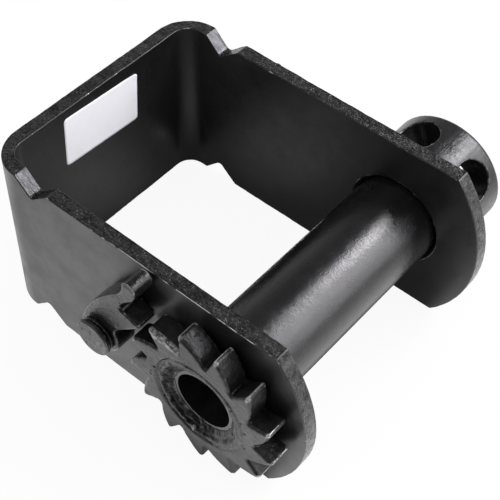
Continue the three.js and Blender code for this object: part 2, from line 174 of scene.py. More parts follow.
# Pits: their greatest radius against their spacing, and how soft their rims are
PIT_RADIUS = 0.42
PIT_RIM = (-0.02, 0.10)

# Where the pawl's nose scrapes the back of the tooth beside it
SCRAPED_LOW = Vector((121.0, -90.5, 28.5)) * MM
SCRAPED_HIGH = Vector((141.5, -85.4, 35.0)) * MM
SCRAPED_EDGE = 1.2 * MM

# A patch of chatter marks on the cap: its angle round the axis, its distance from the axis, and y
CHATTER_AT = (math.radians(75.0), 33.2 * MM, 97 * MM)
CHATTER_REACH = (2.5 * MM, 7.5 * MM)

# Weld between the gear and the tube's end: its section from the bore to the toe
WELD_INNER_RADIUS = 17.5 * MM
WELD_RIDGE_RADIUS = 24.2 * MM
WELD_OUTER_RADIUS = 26.9 * MM
WELD_RIDGE_SUNK = 0.45 * MM
WELD_RIDGE_SHAPE = 1.2
WELD_PASS_RADIUS = 21.6 * MM
WELD_PASS_DEPTH = 1.3 * MM
WELD_PASS_WIDTH = 1.0 * MM
WELD_PROUD = 0.30 * MM
WELD_PROUD_SHAPE = 0.8
WELD_TOE_SUNK = 0.45 * MM
WELD_TOE_SHAPE = 4
WELD_GAP = 0.05 * MM
WELD_STEPS = 540
WELD_CROWN_STEPS = 26

# The weld's groove on one side. Shares are of its depth.
WELD_GROOVE_DEPTH = 1.7 * MM
WELD_GROOVE_TURN = math.radians(215.0)
WELD_GROOVE_SHAPE = 0.7
WELD_FLUSH_UNTIL = 0.25
WELD_LUMPY_FROM = 0.5
WELD_CALM = 0.35

# The weld's lumps, whose lengths are in millimetres, and one raised bead on it, bare metal with a painted
# highlight
WELD_WANDER = 0.9 * MM
WELD_SPREAD = 2.2 * MM
WELD_LUMP = 0.7 * MM
WELD_LUMP_LENGTH = 3.8
WELD_FINE_LENGTH = 1.5
WELD_FINE_SHARE = 0.35
WELD_BEAD_TURN = math.radians(262.0)
WELD_BEAD_RADIUS = 22.8 * MM
WELD_BEAD_REACH = 1.5
WELD_BEAD_RISE = 1.3 * MM
WELD_BEAD_PAINTED_HIGHLIGHT = (0.9 * MM, 2.2 * MM)

# The weld's painted shade, a dark patch between its passes on one side, and the pitted band of the gear
# beside the weld
WELD_SHADE_INNER = (17.8 * MM, 18.8 * MM)
WELD_SHADE_OUTER = (22.4 * MM, 24.0 * MM)
WELD_SHADE_TURN = math.radians(205.0)
WELD_SHADE_SIDE = (-3 * MM, 7 * MM)
WELD_SHADE_STRAY = 1.2 * MM
BESIDE_WELD = (1.5 * MM, 6.5 * MM)

# Label
LABEL_WIDTH = 53.0 * MM
LABEL_HEIGHT = 32.0 * MM
LABEL_STEPS = (40, 26)
LABEL_CORNER = 2.2 * MM
LABEL_THICKNESS = 0.12 * MM
LABEL_LIFT = 0.05 * MM
LABEL_Y = -1.9 * MM
LABEL_Z = 27.6 * MM
LABEL_TILT = math.radians(-3.0)
LABEL_CURL = 0.5 * MM
LABEL_CURL_FROM = 1.8

# How the web's inner face is found: well between the arms, and in front of the web's back
WEB_SHARE = 0.8
WEB_BACK = 1 * MM


def box(node):
    return [Vector(corner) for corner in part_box(node)]


FRAME_LOW, FRAME_HIGH = box("frame")
TUBE_LOW, TUBE_HIGH = box("drum_tube")
GEAR_FRONT = box("ratchet_gear")[0].y
AXIS = (TUBE_LOW + TUBE_HIGH) / 2
HOLE_ZONE = TUBE_HIGH.x - AXIS.x + HOLE_RIM


def around(turn, radius, y):
    """A place this far from the drum's axis, in this direction round it"""
    return AXIS.x + radius * math.cos(turn), y, AXIS.z + radius * math.sin(turn)


# Material building blocks

class Tree:
    """A node tree with short ways to add and join nodes. A value is a socket or a number."""

    def __init__(self, owner):
        owner.use_nodes = True
        self.nodes = owner.node_tree.nodes
        self.links = owner.node_tree.links
        self.nodes.clear()

    def add(self, kind, **settings):
        node = self.nodes.new(kind)
        for key, value in settings.items():
            setattr(node, key, value)
        return node

    def join(self, a, b):
        self.links.new(a, b)

    def feed(self, socket, value):
        if isinstance(value, bpy.types.NodeSocket):
            self.join(value, socket)
        else:
            socket.default_value = value

    def ramp(self, value, low, high, start=0.0, end=1.0, kind="SMOOTHSTEP"):
        """From start to end as the value goes from low to high"""
        node = self.add("ShaderNodeMapRange", interpolation_type=kind)
        self.join(value, node.inputs["Value"])
        node.inputs["From Min"].default_value = low
        node.inputs["From Max"].default_value = high
        node.inputs["To Min"].default_value = start
        node.inputs["To Max"].default_value = end
        return node.outputs["Result"]

    def math(self, operation, total, *others):
        """One operation over several values, from left to right"""
        for other in others:
            node = self.add("ShaderNodeMath", operation=operation)
            self.feed(node.inputs[0], total)
            self.feed(node.inputs[1], other)
            total = node.outputs["Value"]
        return total

    def absolute(self, value):
        node = self.add("ShaderNodeMath", operation="ABSOLUTE")
        self.join(value, node.inputs[0])
        return node.outputs["Value"]

    def opposite(self, share):
        return self.math("SUBTRACT", 1.0, share)

    def blend(self, share, constant, value):
        """The constant where the share is 0, and the value where it is 1"""
        node = self.add("ShaderNodeMix", data_type="FLOAT")
        self.join(share, node.inputs["Factor"])
        node.inputs["A"].default_value = constant
        self.join(value, node.inputs["B"])
        return node.outputs["Result"]

    def split(self, vector):
        """A vector's x, y and z"""
        node = self.add("ShaderNodeSeparateXYZ")
        self.join(vector, node.inputs["Vector"])
        return [node.outputs[axis] for axis in "XYZ"]


class Surface(Tree):
    """A material's nodes, round one shader and the place on the object."""

    SOCKETS = {"colour": "Base Color", "rough": "Roughness", "metal": "Metallic", "normal": "Normal",
               "ior": "IOR", "specular": "Specular IOR Level"}

    def __init__(self, name):
        self.material = bpy.data.materials.new(name)
        super().__init__(self.material)
        self.output = self.add("ShaderNodeOutputMaterial")
        self.shader = self.add("ShaderNodeBsdfPrincipled")
        self.join(self.shader.outputs["BSDF"], self.output.inputs["Surface"])
        self.place = self.add("ShaderNodeTexCoord").outputs["Object"]

    def set(self, **values):
        for key, value in values.items():
            self.feed(self.shader.inputs[self.SOCKETS[key]], value)
        return self.material

    def noise(self, scale, detail, rough, stretch=None):
        """Noise from 0 to 1 with this many lumps a metre, longer along an axis whose stretch is under 1"""
        place = self.place
        if stretch:
            mapping = self.add("ShaderNodeMapping")
            mapping.inputs["Scale"].default_value = stretch
            self.join(place, mapping.inputs["Vector"])
            place = mapping.outputs["Vector"]
        node = self.add("ShaderNodeTexNoise")
        node.inputs["Scale"].default_value = scale
        node.inputs["Detail"].default_value = detail
        node.inputs["Roughness"].default_value = rough
        self.join(place, node.inputs["Vector"])
        return node.outputs["Fac"]

    def mix(self, share, a, b):
        """Colour a where the share is 0, and colour b where it is 1"""
        node = self.add("ShaderNodeMix", data_type="RGBA")
        self.join(share, node.inputs["Factor"])
        self.feed(node.inputs[MIX_COLOUR_A], a)
        self.feed(node.inputs[MIX_COLOUR_B], b)
        return node.outputs[MIX_COLOUR_OUT]

    def between(self, value, low, high, a, b):
        """From colour a to colour b as the value goes from low to high"""
        return self.mix(self.ramp(value, low, high), a, b)

    def bumps(self, *layers):
        """Bumps on one another, from the broadest to the finest, each with its height, depth and strength"""
        normal = None
        for height, depth, strength in layers:
            node = self.add("ShaderNodeBump")
            node.inputs["Strength"].default_value = strength
            node.inputs["Distance"].default_value = depth
            self.join(height, node.inputs["Height"])
            if normal is not None:
                self.join(normal, node.inputs["Normal"])
            normal = node.outputs["Normal"]
        return normal

    def vector(self, operation, a, b, output="Value"):
        node = self.add("ShaderNodeVectorMath", operation=operation)
        self.join(a, node.inputs[0])
        node.inputs[1].default_value = b
        return node.outputs[output]

    def from_place(self, place):
        """Distance from a place"""
        return self.vector("DISTANCE", self.place, place)

    def from_axis(self):
        """Distance from the drum's axis"""
        flat = self.vector("MULTIPLY", self.place, (1, 0, 1), "Vector")
        return self.vector("DISTANCE", flat, (AXIS.x, 0, AXIS.z))

    def towards(self, turn, low, high):
        """0 to 1 from one distance to another from the drum's axis, measured in this direction round it"""
        across = self.vector("SUBTRACT", self.place, (AXIS.x, 0, AXIS.z), "Vector")
        return self.ramp(self.vector("DOT_PRODUCT", across, (math.cos(turn), 0, math.sin(turn))), low, high)

    def inside_box(self, low, high, soft):
        """1 well inside the box and 0 outside it"""
        slopes = []
        for along, a, b in zip(self.split(self.place), low, high):
            slopes += [self.ramp(along, a, a + soft), self.ramp(along, b - soft, b, 1.0, 0.0)]
        return self.math("MULTIPLY", *slopes)

    def beside_weld(self):
        """1 along the weld's toe on the gear's face"""
        away = self.absolute(self.math("SUBTRACT", self.from_axis(), WELD_OUTER_RADIUS))
        return self.ramp(away, *BESIDE_WELD, 1.0, 0.0)

    def mark(self, name):
        """What the mesh code stored in the points under this name"""
        return self.add("ShaderNodeAttribute", attribute_name=name).outputs["Fac"]

    def crest(self, low, high):
        """0 to 1 as a casting's skin turns from flat to convex"""
        return self.ramp(self.mark("crest"), low, high)

    def painted_hollow_shade(self, low, high):
        """1 to 0 as a fine mesh turns from concave to flat: painted shade in creases, tooth roots and dents
        """
        return self.ramp(self.add("ShaderNodeNewGeometry").outputs["Pointiness"], low, high, 1.0, 0.0)

    def worn_edge(self, scale):
        """Rubbed through in a few spots where the mark is 1, and nearly all along where it is 2"""
        mark = self.mark("edge")
        rubbed = self.math("MAXIMUM", self.math("SUBTRACT", mark, 1.0), 0.0)
        more = self.math("MULTIPLY", rubbed, self.ramp(self.noise(28, 2, 0.5), 0.40, 0.60, *RUBBED_MORE))
        spots = self.ramp(self.math("ADD", self.noise(scale, 5, 0.7), more), *RUBBED_SPOTS)
        return self.math("MULTIPLY", self.math("MINIMUM", mark, 1.0), spots)

    def pits(self, spacing, share, slow):
        """1 in small round pits, which this share of the cells has, and more where the slow value is high"""
        node = self.add("ShaderNodeTexVoronoi", feature="F1")
        node.inputs["Scale"].default_value = 1 / spacing
        self.join(self.place, node.inputs["Vector"])
        chance = self.add("ShaderNodeSeparateColor")
        self.join(node.outputs["Color"], chance.inputs["Color"])
        size = self.math("SUBTRACT", self.math("MULTIPLY", slow, share), chance.outputs["Red"])
        radius = self.math("MULTIPLY", self.ramp(size, 0.0, share), PIT_RADIUS)
        return self.ramp(self.math("SUBTRACT", radius, node.outputs["Distance"]), *PIT_RIM)


def grey(level, warm=0.0):
    """A grey, or one that leans to brown by this share"""
    return level * (1 + warm), level, level * (1 - warm), 1.0


# Materials

def plate_paint():
    """Satin black over rolled plate, with dust in broad patches, and edges rubbed to bare metal in places"""
    n = Surface("plate_paint")
    broad = n.noise(22, 5, 0.6)
    peel = n.noise(700, 3, 0.5)
    fine = n.noise(2100, 2, 0.5)
    worn = n.worn_edge(140)
    dust = n.math("ADD", broad, n.math("MULTIPLY", n.noise(5, 3, 0.5), 0.4))
    colour = n.between(dust, 0.55, 1.0, grey(0.003), grey(0.010, 0.03))
    colour = n.mix(worn, colour, grey(0.80, 0.01))
    rough = n.between(n.noise(75, 4, 0.6), 0.3, 0.7, grey(0.30), grey(0.42))
    rough = n.mix(worn, rough, grey(0.36))
    normal = n.bumps((broad, 0.45 * MM, 0.5), (peel, 0.10 * MM, 0.6), (fine, 0.04 * MM, 0.5))
    return n.set(colour=colour, rough=rough, metal=worn, normal=normal, ior=PAINT_IOR)


def cut_paint():
    """Gloss black over the plate's sheared and flame-cut edges, rough enough to glint, with bare specks"""
    n = Surface("cut_paint")
    lumps = n.noise(300, 4, 0.6)
    grit = n.noise(760, 3, 0.6)
    drag = n.noise(420, 4, 0.6, stretch=(1.0, 1.0, 0.12))
    specks = n.ramp(n.noise(900, 3, 0.6), 0.60, 0.70)
    worn = n.math("MAXIMUM", n.worn_edge(170), n.math("MULTIPLY", specks, 0.18))
    colour = n.between(grit, 0.4, 0.72, grey(0.002), grey(0.012, 0.03))
    colour = n.mix(worn, colour, grey(0.36, 0.01))
    rough = n.between(lumps, 0.35, 0.65, grey(0.17), grey(0.30))
    metal = n.math("MULTIPLY", worn, 0.8)
    normal = n.bumps((lumps, 0.8 * MM, 0.7), (drag, 0.6 * MM, 0.7), (grit, 0.55 * MM, 1.0))
    specular = n.ramp(n.noise(210, 5, 0.7), 0.36, 0.62, 0.20, 0.62)
    return n.set(colour=colour, rough=rough, metal=metal, normal=normal, ior=PAINT_IOR, specular=specular)


def torch_paint():
    """Thin black over the notches' flame-cut faces, with lilac grey steel showing along the drag lines"""
    n = Surface("torch_paint")
    drag = n.noise(330, 5, 0.65, stretch=(0.35, 1.0, 0.35))
    blots = n.noise(130, 4, 0.6)
    bare = n.math("MULTIPLY", n.ramp(drag, 0.34, 0.60), n.ramp(blots, 0.30, 0.55, 0.45, 1.0))
    bare = n.math("MAXIMUM", bare, n.worn_edge(170))
    colour = n.mix(bare, grey(0.006), (0.165, 0.162, 0.174, 1.0))
    rough = n.between(blots, 0.35, 0.65, grey(0.28), grey(0.42))
    metal = n.math("MULTIPLY", bare, 0.75)
    normal = n.bumps((blots, 0.9 * MM, 0.6), (drag, 0.55 * MM, 0.9))
    return n.set(colour=colour, rough=rough, metal=metal, normal=normal, ior=PAINT_IOR)


def tube_paint():
    """Gloss black over tube, with a fine orange peel that breaks the long highlight into specks"""
    n = Surface("tube_paint")
    peel = n.noise(900, 3, 0.6)
    waves = n.noise(150, 4, 0.6)
    specks = n.noise(1700, 2, 0.6)
    worn = n.worn_edge(200)
    colour = n.between(n.noise(30, 5, 0.6), 0.35, 0.75, grey(0.004), grey(0.008, 0.02))
    colour = n.mix(worn, colour, grey(0.3))
    rough = n.between(n.noise(110, 4, 0.6), 0.3, 0.7, grey(0.21), grey(0.29))
    metal = n.math("MULTIPLY", worn, 0.8)
    normal = n.bumps((waves, 0.24 * MM, 0.5), (peel, 0.13 * MM, 0.8), (specks, 0.07 * MM, 0.7))
    return n.set(colour=colour, rough=rough, metal=metal, normal=normal, ior=PAINT_IOR)


def cast_paint(name, crests, roughness):
    """Thin black over a pitted casting. Tips are rubbed to metal, pits stay black, and creases and tooth
    roots are painted black as shade.
    """
    n = Surface(name)
    lumps = n.noise(170, 5, 0.6)
    grit = n.noise(520, 4, 0.6)
    fine = n.noise(1700, 3, 0.55)

    by_weld = n.math("MULTIPLY", n.beside_weld(), n.ramp(n.noise(90, 2, 0.5), 0.30, 0.50))
    crowd = n.math("MAXIMUM", by_weld, n.ramp(n.noise(90, 3, 0.5), 0.50, 0.75))
    # Real pits, and painted shade that blackens creases and tooth roots and takes away their gloss
    dark = n.math("MAXIMUM", n.pits(2.4 * MM, 0.6, crowd), n.painted_hollow_shade(0.450, 0.492))

    rubbed = n.math("MULTIPLY", n.crest(*crests), n.ramp(n.noise(110, 6, 0.75), 0.42, 0.56))
    striped = n.ramp(n.noise(900, 4, 0.65, stretch=(0.5, 1.0, 1.0)), 0.40, 0.62)
    scraped = n.math("MULTIPLY", n.inside_box(SCRAPED_LOW, SCRAPED_HIGH, SCRAPED_EDGE), striped, 0.5)
    worn = n.math("MAXIMUM", rubbed, scraped)

    colour = n.between(lumps, 0.35, 0.7, grey(0.004), grey(0.012, 0.03))
    colour = n.mix(worn, colour, grey(0.62, 0.01))
    colour = n.mix(dark, colour, grey(0.002))
    smooth, coarse = roughness
    rough = n.between(n.noise(130, 4, 0.6), 0.3, 0.7, grey(smooth), grey(coarse))
    metal = n.math("MULTIPLY", n.math("SUBTRACT", worn, dark), 0.85)
    metal = n.math("MAXIMUM", metal, 0.0)
    normal = n.bumps((lumps, 0.8 * MM, 0.6), (grit, 0.30 * MM, 0.8), (fine, 0.07 * MM, 0.6))
    specular = n.ramp(dark, 0.0, 0.3, 0.45, 0.03)
    return n.set(colour=colour, rough=rough, metal=metal, normal=normal, ior=CAST_IOR, specular=specular)


def cap_paint():
    """Satin black over a thick sleeve, with fine marks along it and one patch of short chatter marks"""
    n = Surface("cap_paint")
    marks = n.noise(420, 4, 0.65, stretch=(1.0, 0.22, 1.0))
    peel = n.noise(760, 3, 0.55)
    waves = n.noise(120, 4, 0.6)
    chatter = n.ramp(n.noise(1100, 1, 0.5, stretch=(1.0, 0.3, 1.0)), 0.46, 0.56)
    patch = n.ramp(n.from_place(around(*CHATTER_AT)), *CHATTER_REACH, 1.0, 0.0)
    chatter = n.math("MULTIPLY", chatter, patch)
    worn = n.math("MULTIPLY", n.crest(0.03, 0.10), n.ramp(n.noise(240, 5, 0.7), 0.46, 0.66))
    colour = n.between(n.noise(34, 5, 0.6), 0.35, 0.75, grey(0.004), grey(0.008, 0.02))
    colour = n.mix(worn, colour, grey(0.26))
    rough = n.between(n.noise(90, 4, 0.6), 0.3, 0.7, grey(0.26), grey(0.37))
    metal = n.math("MULTIPLY", worn, 0.8)
    normal = n.bumps((waves, 0.15 * MM, 0.5), (peel, 0.12 * MM, 0.6), (marks, 0.20 * MM, 0.7),
                     (chatter, 0.10 * MM, 0.6))
    specular = n.ramp(chatter, 0.0, 1.0, 0.5, 0.30)
    return n.set(colour=colour, rough=rough, metal=metal, normal=normal, ior=CAST_IOR, specular=specular)


def rivet_paint():
    """Black over a hammered rivet head, with dark dents and a few rubbed spots"""
    n = Surface("rivet_paint")
    dents = n.pits(1.8 * MM, 0.8, n.ramp(n.noise(150, 3, 0.5), 0.25, 0.50))
    grit = n.noise(640, 4, 0.6)
    waves = n.noise(210, 4, 0.6)
    spots = n.ramp(n.noise(240, 4, 0.6), 0.5, 0.7)
    worn = n.math("MAXIMUM", n.worn_edge(300), n.math("MULTIPLY", spots, 0.25))
    colour = n.between(waves, 0.35, 0.7, grey(0.006), grey(0.020, 0.02))
    colour = n.mix(worn, colour, grey(0.40, 0.01))
    colour = n.mix(dents, colour, grey(0.002))
    rough = n.between(waves, 0.3, 0.7, grey(0.30), grey(0.44))
    metal = n.math("MULTIPLY", worn, 0.7)
    normal = n.bumps((waves, 0.6 * MM, 0.6), (grit, 0.25 * MM, 0.8))
    specular = n.ramp(dents, 0.0, 1.0, 0.5, 0.1)
    return n.set(colour=colour, rough=rough, metal=metal, normal=normal, ior=PAINT_IOR, specular=specular)


def weld_painted_shade(n):
    """1 in a ragged patch of painted shade between the weld's passes, on one side of it"""
    stray = n.ramp(n.noise(200, 3, 0.5), 0.2, 0.8, -WELD_SHADE_STRAY, WELD_SHADE_STRAY)
    from_axis = n.math("ADD", n.from_axis(), stray)
    return n.math("MULTIPLY", n.ramp(from_axis, *WELD_SHADE_INNER), n.ramp(from_axis, *WELD_SHADE_OUTER, 1.0, 0.0),
                  n.towards(WELD_SHADE_TURN, *WELD_SHADE_SIDE), n.ramp(n.noise(150, 4, 0.65), 0.34, 0.50, 0.35, 1.0))


def weld_paint():
    """Black over a weld, with soot-black pits, painted shade on one side, and one bead of bare metal with a
    painted highlight
    """
    n = Surface("weld_paint")
    fine = n.noise(900, 4, 0.6)
    grit = n.noise(420, 4, 0.65)
    # One bead, bare metal and brightened in colour as a painted highlight
    bead_place = around(WELD_BEAD_TURN, WELD_BEAD_RADIUS, GEAR_FRONT)
    bead = n.ramp(n.from_place(bead_place), *WELD_BEAD_PAINTED_HIGHLIGHT, 1.0, 0.0)
    bead = n.math("MULTIPLY", bead, n.ramp(n.noise(600, 3, 0.6), 0.40, 0.65))
    pits = n.pits(2.2 * MM, 0.8, n.ramp(n.noise(120, 3, 0.5), 0.40, 0.65))
    # Real pits, and the painted shade on one side, which the bead's painted highlight cuts through
    dark = n.math("MAXIMUM", pits, n.math("MULTIPLY", weld_painted_shade(n), 0.85))
    dark = n.math("MULTIPLY", dark, n.opposite(bead))
    colour = n.between(n.noise(160, 4, 0.6), 0.35, 0.7, grey(0.003), grey(0.014, 0.02))
    colour = n.mix(dark, colour, grey(0.002))
    colour = n.mix(bead, colour, grey(0.35))
    rough = n.between(n.noise(240, 3, 0.6), 0.3, 0.7, grey(0.22), grey(0.42))
    metal = n.math("MULTIPLY", bead, 0.6)
    normal = n.bumps((grit, 0.45 * MM, 0.7), (fine, 0.12 * MM, 0.6))
    specular = n.ramp(dark, 0.0, 1.0, 0.48, 0.05)
    return n.set(colour=colour, rough=rough, metal=metal, normal=normal, ior=CAST_IOR, specular=specular)


def label_paper():
    """Coated paper, a little glossy, with faint fibres and handling marks"""
    n = Surface("label_paper")
    fibres = n.noise(1500, 4, 0.6)
    colour = n.between(n.noise(60, 5, 0.6), 0.45, 0.8, (0.94, 0.94, 0.97, 1.0), (0.88, 0.88, 0.90, 1.0))
    rough = n.between(n.noise(140, 4, 0.6), 0.3, 0.7, grey(0.36), grey(0.5))
    return n.set(colour=colour, rough=rough, normal=n.bumps((fibres, 0.02 * MM, 0.5)))


def painted_floor_light_in_mirrors(n):
    """The floor's painted light and shade in reflections: shadow inside the frame and under the gear, and a
    pool of light beside the drum
    """
    x, y, _ = n.split(n.place)
    forward = n.math("MULTIPLY", y, -1.0)

    beyond_drum = n.ramp(x, FRAME_HIGH.x - FLOOR_DRUM_SHADE_EDGE, FRAME_HIGH.x)
    behind_web = n.ramp(x, FRAME_LOW.x - FLOOR_SHADE_EDGE, FRAME_LOW.x, 1.0, 0.0)
    aside = n.ramp(n.absolute(y), FRAME_HIGH.y - FLOOR_SHADE_EDGE, FRAME_HIGH.y)
    outside = n.math("MAXIMUM", aside, beyond_drum, behind_web)

    level = n.ramp(x, *FLOOR_DRUM_REACH, FLOOR_MIRRORED_LEFT, FLOOR_PAINTED_LIGHT_BY_DRUM)
    far = n.ramp(x, *FLOOR_FAR_REACH, 1.0, FLOOR_MIRRORED_FAR / FLOOR_PAINTED_LIGHT_BY_DRUM)
    fade = n.ramp(forward, *FLOOR_FRONT_FADE, 1.0, FLOOR_MIRRORED_FRONT)
    # A painted shadow on the floor under the gear
    left, left_end, right_start, right = FLOOR_GEAR_SHADOW_X
    gear_shadow = n.math("MULTIPLY", n.ramp(x, left, left_end), n.ramp(x, right_start, right, 1.0, 0.0),
                        n.ramp(forward, *FLOOR_GEAR_SHADOW_FORWARD, 1.0, 0.0))
    shade = n.ramp(gear_shadow, 0.0, 1.0, 1.0, FLOOR_GEAR_SHADOW)

    # Inside the frame: painted shadow, with a lighter painted patch in the middle
    middle = n.from_place(FLOOR_MIDDLE_PLACE)
    middle = n.ramp(middle, *FLOOR_MIDDLE_REACH, FLOOR_MIRRORED_MIDDLE, FLOOR_PAINTED_SHADOW_INSIDE)
    inside = n.math("MULTIPLY", n.opposite(outside), middle)
    return n.math("ADD", n.math("MULTIPLY", outside, level, far, fade, shade), inside)


def floor_paint():
    """A pale floor that keeps the part's shadow and glows for the camera, and that glows in reflections with
    painted light and shade
    """
    n = Surface("floor")
    light, lighter = FLOOR_TONES
    tone = n.between(n.noise(3, 3, 0.5), 0.3, 0.7, grey(light), grey(lighter))
    n.set(colour=tone, rough=FLOOR_ROUGHNESS, specular=FLOOR_SPECULAR)
    glow = n.add("ShaderNodeEmission")
    glow.inputs["Color"].default_value = (1, 1, 1, 1)
    path = n.add("ShaderNodeLightPath").outputs
    mirrored = n.math("MAXIMUM", path["Is Glossy Ray"], path["Is Transmission Ray"])
    n.join(n.blend(mirrored, 1.0, painted_floor_light_in_mirrors(n)), glow.inputs["Strength"])
    both = n.add("ShaderNodeMixShader")
    seen = n.math("MULTIPLY", path["Is Camera Ray"], FLOOR_GLOW_SEEN)
    n.join(n.math("ADD", seen, mirrored), both.inputs["Fac"])
    n.join(n.shader.outputs["BSDF"], both.inputs[1])
    n.join(glow.outputs["Emission"], both.inputs[2])
    n.join(both.outputs["Shader"], n.output.inputs["Surface"])
    return n.material


# Mesh building blocks

def new_object(name, mesh, body, materials, slot, *nodes):
    """A piece that rides on a body, wears these materials and replaces the nodes, which it hides. Its slot
    is not used.
    """
    obj = bpy.data.objects.new(name, mesh)
    SCENE.collection.objects.link(obj)
    for material in materials:
        obj.data.materials.append(material)
    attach(obj, body)
    if nodes:
        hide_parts(*nodes)
    return obj


def solid_faces(node):
    """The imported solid's mesh, with shared corners joined and flat areas made one face each"""
    bm = bmesh.new()
    bm.from_mesh(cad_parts[node].data)
    bmesh.ops.remove_doubles(bm, verts=bm.verts, dist=JOINED_WITHIN)
    bmesh.ops.dissolve_limit(bm, angle_limit=math.radians(FLAT_WITHIN), verts=bm.verts, edges=bm.edges,
                             use_dissolve_boundaries=False)
    return bm


def sharp_edges(bm):
    limit = math.radians(SHARP_FROM)
    return [edge for edge in bm.edges if len(edge.link_faces) == 2 and edge.calc_face_angle() > limit]


def rounded(bm, width, rubbed=None):
    """Rounds the sharp edges, and marks the points that lie only on them by 1, up to 2 where rubbed"""
    made = bmesh.ops.bevel(bm, geom=sharp_edges(bm), offset=width, offset_type="OFFSET",
                           segments=ROUND_STEPS, profile=0.5, affect="EDGES", clamp_overlap=True)
    mark = bm.verts.layers.float.new("edge")
    band = set(made["faces"])
    for vertex in bm.verts:
        if all(face in band for face in vertex.link_faces):
            vertex[mark] = 1.0 + rubbed(vertex.co) if rubbed else 1.0


def finished(bm, name):
    bmesh.ops.recalc_face_normals(bm, faces=bm.faces)
    mesh = bpy.data.meshes.new(name)
    bm.to_mesh(mesh)
    bm.free()
    mesh.shade_smooth()
    return mesh


def weigh_normals(obj):
    modifier = obj.modifiers.new("flat_faces_stay_flat", "WEIGHTED_NORMAL")
    modifier.mode = "FACE_AREA"
    modifier.weight = 100
    modifier.keep_sharp = True


def skin(obj, grain, melting):
    """Gives a casting one even skin, and melts its edges by this many rounds of smoothing"""
    remesh = obj.modifiers.new("skin", "REMESH")
    remesh.mode = "VOXEL"
    remesh.voxel_size = grain
    remesh.use_smooth_shade = True
    soften = obj.modifiers.new("soften", "SMOOTH")
    soften.factor = 0.5
    soften.iterations = melting
    graph = bpy.context.evaluated_depsgraph_get()
    mesh = bpy.data.meshes.new_from_object(obj.evaluated_get(graph))
    obj.modifiers.clear()
    old = obj.data
    material = old.materials[0]
    obj.data = mesh
    bpy.data.meshes.remove(old)
    mesh.materials.clear()
    mesh.materials.append(material)


def mark_crests(mesh):
    """Stores how far each point stands out of its surroundings, spread so that only edges count"""
    points = mesh.vertices
    edges = [tuple(edge.vertices) for edge in mesh.edges]
    rise, neighbours = [0.0] * len(points), [1] * len(points)
    for a, b in edges:
        along = (points[b].co - points[a].co).normalized()
        rise[a] -= along.dot(points[a].normal)
        rise[b] += along.dot(points[b].normal)
        neighbours[a] += 1
        neighbours[b] += 1
    rise = [total / count for total, count in zip(rise, neighbours)]
    for _ in range(CREST_SPREAD):
        totals = list(rise)
        for a, b in edges:
            totals[a] += rise[b]
            totals[b] += rise[a]
        rise = [total / count for total, count in zip(totals, neighbours)]
    mesh.attributes.new("crest", "FLOAT", "POINT").data.foreach_set("value", rise)


def roughen(mesh, uneven, seed):
    """Makes a skin lumpy. It only ever sinks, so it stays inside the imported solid."""
    offset = Vector((seed, 2 * seed, 3 * seed))
    normals = [vertex.normal.copy() for vertex in mesh.vertices]
    for vertex, normal in zip(mesh.vertices, normals):
        place = vertex.co / MM
        coarse = noise.noise(place / LUMPS_COARSE + offset)
        fine = noise.noise(place / LUMPS_FINE + offset)
        height = LUMPS_COARSE_SHARE * coarse + (1 - LUMPS_COARSE_SHARE) * fine - LUMPS_SUNK
        vertex.co += normal * uneven * min(0.0, height)
    mesh.shade_smooth()


# Frame plate

def beside_hole(place):
    """True on and close round the drum's holes in the arms"""
    return math.hypot(place.x - AXIS.x, place.z) < HOLE_ZONE


def is_cut_face(face):
    """True for the sheared and flame-cut edges of the plate, and not for its rolled faces or holes"""
    middle = face.calc_center_median()
    if beside_hole(middle):
        return False
    return abs(face.normal.z) > CUT_FACE_TILT or (face.normal.x > FACES_FORWARD and middle.x > AXIS.x)


def is_torch_face(face):
    """True for the first face of a notch, next to the web"""
    slanted = face.normal.x > FACES_FORWARD and abs(face.normal.z) > FACES_FORWARD
    return slanted and face.calc_center_median().x < AXIS.x / 2


def rubbed_share(place):
    """How much the plate's edge is rubbed here: round the drum's holes, and along the gear arm's top edge"""
    if beside_hole(place):
        return HOLE_EDGE_RUBBED
    if place.y > FRAME_LOW.y + RUBBED_DEPTH or place.z < RUBBED_HEIGHT * FRAME_HIGH.z:
        return 0.0
    return min(1.0, max(0.0, (place.x - RUBBED_FROM) / (RUBBED_FULLY_FROM - RUBBED_FROM)))


def noise_over(place, lengths, offset=(0.0, 0.0, 0.0)):
    """Smooth noise that changes over these lengths in x, y and z"""
    return noise.noise(Vector([along / length for along, length in zip(place, lengths)]) + Vector(offset))


def waver_cut_edges(bm):
    """Cuts the plate's long edges into steps, and draws its points in by a wave and a ripple"""
    for edge in sharp_edges(bm):
        parts = int(edge.calc_length() / CUT_STEP)
        if parts > 1 and not beside_hole((edge.verts[0].co + edge.verts[1].co) / 2):
            bmesh.ops.subdivide_edges(bm, edges=[edge], cuts=parts - 1)
    for vertex in bm.verts:
        if beside_hole(vertex.co):
            continue
        wave = noise_over(vertex.co / MM, CUT_WAVE_LENGTHS)
        ripple = noise_over(vertex.co / MM, CUT_RIPPLE_LENGTHS, CUT_RIPPLE_OFFSET)
        pull = CUT_WAVE * max(0.0, CUT_MEAN + CUT_WAVE_SHARE * wave + CUT_RIPPLE_SHARE * ripple)
        vertex.co.z -= math.copysign(pull, vertex.co.z)


def make_frame_plate(rolled, cut, torch):
    """The bent plate. Its cut edges wander a little, as a sheared and flame-cut strip's do."""
    bm = solid_faces("frame")
    waver_cut_edges(bm)
    for face in bm.faces:
        face.material_index = 2 if is_torch_face(face) else int(is_cut_face(face))
    rounded(bm, PLATE_ROUNDING, rubbed_share)
    for vertex in bm.verts:
        vertex.co.z = min(max(vertex.co.z, FRAME_LOW.z), FRAME_HIGH.z)
    obj = new_object("plate", finished(bm, "plate"), "frame", [rolled, cut, torch], "black_paint", "frame")
    weigh_normals(obj)


# Turned pieces and castings

